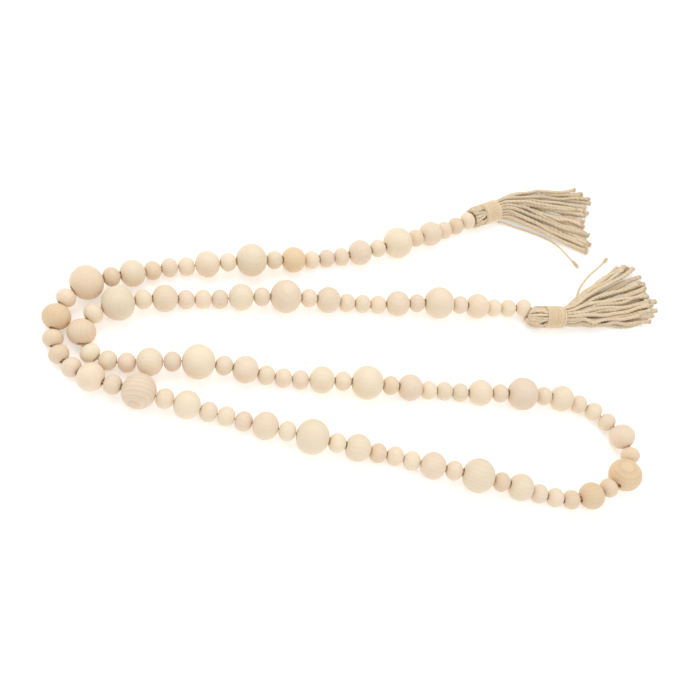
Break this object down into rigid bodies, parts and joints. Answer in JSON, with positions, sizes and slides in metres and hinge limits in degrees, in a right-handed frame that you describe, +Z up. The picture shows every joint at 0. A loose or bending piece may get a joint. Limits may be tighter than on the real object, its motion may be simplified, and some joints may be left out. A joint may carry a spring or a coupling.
{
  "type": "wooden bead garland with jute tassels",
  "caption": "Garland of plain turned wooden beads in three sizes on jute twine, a jute tassel at each end, laid in a folded double loop.",
  "frame": {"origin": "centre of the laid garland's outline, on the surface that it lies on", "axes": "+X along the long runs of beads, towards the tassels; +Y towards the run that leads to the first tassel; +Z up"},
  "size_m": [0.3932, 0.245, 0.0197],
  "materials": {
    "wood": "unvarnished pale wood, sanded smooth, each bead its own tone",
    "twine": "thin plied jute twine, matt and slightly hairy",
    "yarn": "thick plied jute yarn, matt, frayed at the cut tips"
  },
  "bodies": {
    "root": {"large_set_01": "wood", "large_set_02": "wood", "large_set_03": "wood", "large_set_04": "wood", "large_set_05": "wood", "large_set_06": "wood", "large_set_07": "wood", "large_set_08": "wood", "large_set_09": "wood", "large_set_10": "wood", "large_set_11": "wood", "large_set_12": "wood", "large_set_13": "wood", "medium_bead_01": "wood", "medium_bead_02": "wood", "medium_bead_03": "wood", "medium_bead_04": "wood", "medium_bead_05": "wood", "medium_bead_06": "wood", "medium_bead_07": "wood", "medium_bead_08": "wood", "medium_bead_09": "wood", "medium_bead_10": "wood", "medium_bead_11": "wood", "medium_bead_12": "wood", "medium_bead_13": "wood", "medium_bead_14": "wood", "medium_bead_15": "wood", "medium_bead_16": "wood", "medium_bead_17": "wood", "medium_bead_18": "wood", "medium_bead_19": "wood", "medium_bead_20": "wood", "medium_bead_21": "wood", "medium_bead_22": "wood", "medium_bead_23": "wood", "medium_bead_24": "wood", "medium_bead_25": "wood", "medium_bead_26": "wood", "small_set_01": "wood", "small_set_02": "wood", "small_set_03": "wood", "small_set_04": "wood", "small_set_05": "wood", "small_set_06": "wood", "small_set_07": "wood", "small_set_08": "wood", "small_set_09": "wood", "small_set_10": "wood", "small_set_11": "wood", "small_set_12": "wood", "small_set_13": "wood", "small_set_14": "wood", "twine": "twine", "tassel_a": "yarn", "neck_wrap_a": "twine", "loose_end_a": "twine", "tassel_b": "yarn", "neck_wrap_b": "twine", "loose_end_b": "twine"}
  },
  "joints": []
}
